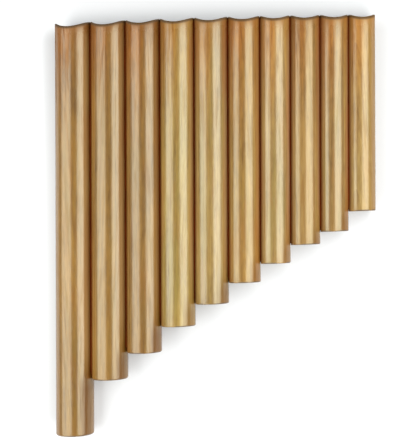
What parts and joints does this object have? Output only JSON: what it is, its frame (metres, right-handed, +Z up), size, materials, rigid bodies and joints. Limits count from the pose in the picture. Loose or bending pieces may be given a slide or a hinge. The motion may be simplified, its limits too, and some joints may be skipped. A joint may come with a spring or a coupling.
{
  "type": "pan flute",
  "caption": "Bowed row of stopped wooden pipes of falling length, glued side by side, with scalloped mouths, and cork and beeswax stoppers inside.",
  "frame": {"origin": "middle of the outer box, on the table that the flute lies on", "axes": "+X runs from the longest pipe to the shortest, +Y along the pipes towards the mouths, +Z up from the table, out of the bowed front"},
  "size_m": [0.1896, 0.2468, 0.025],
  "materials": {
    "pipe_wood": "satin lacquer over light brown straight-grained wood",
    "cork": "matt agglomerated cork",
    "beeswax": "dull yellow wax"
  },
  "bodies": {
    "root": {"pipe_01": "pipe_wood", "pipe_02": "pipe_wood", "pipe_03": "pipe_wood", "pipe_04": "pipe_wood", "pipe_05": "pipe_wood", "pipe_06": "pipe_wood", "pipe_07": "pipe_wood", "pipe_08": "pipe_wood", "pipe_09": "pipe_wood", "pipe_10": "pipe_wood", "cork_01": "cork", "cork_02": "cork", "cork_03": "cork", "cork_04": "cork", "cork_05": "cork", "cork_06": "cork", "cork_07": "cork", "cork_08": "cork", "cork_09": "cork", "cork_10": "cork", "wax_01": "beeswax", "wax_02": "beeswax", "wax_03": "beeswax", "wax_04": "beeswax", "wax_05": "beeswax", "wax_06": "beeswax", "wax_07": "beeswax", "wax_08": "beeswax", "wax_09": "beeswax", "wax_10": "beeswax"}
  },
  "joints": []
}
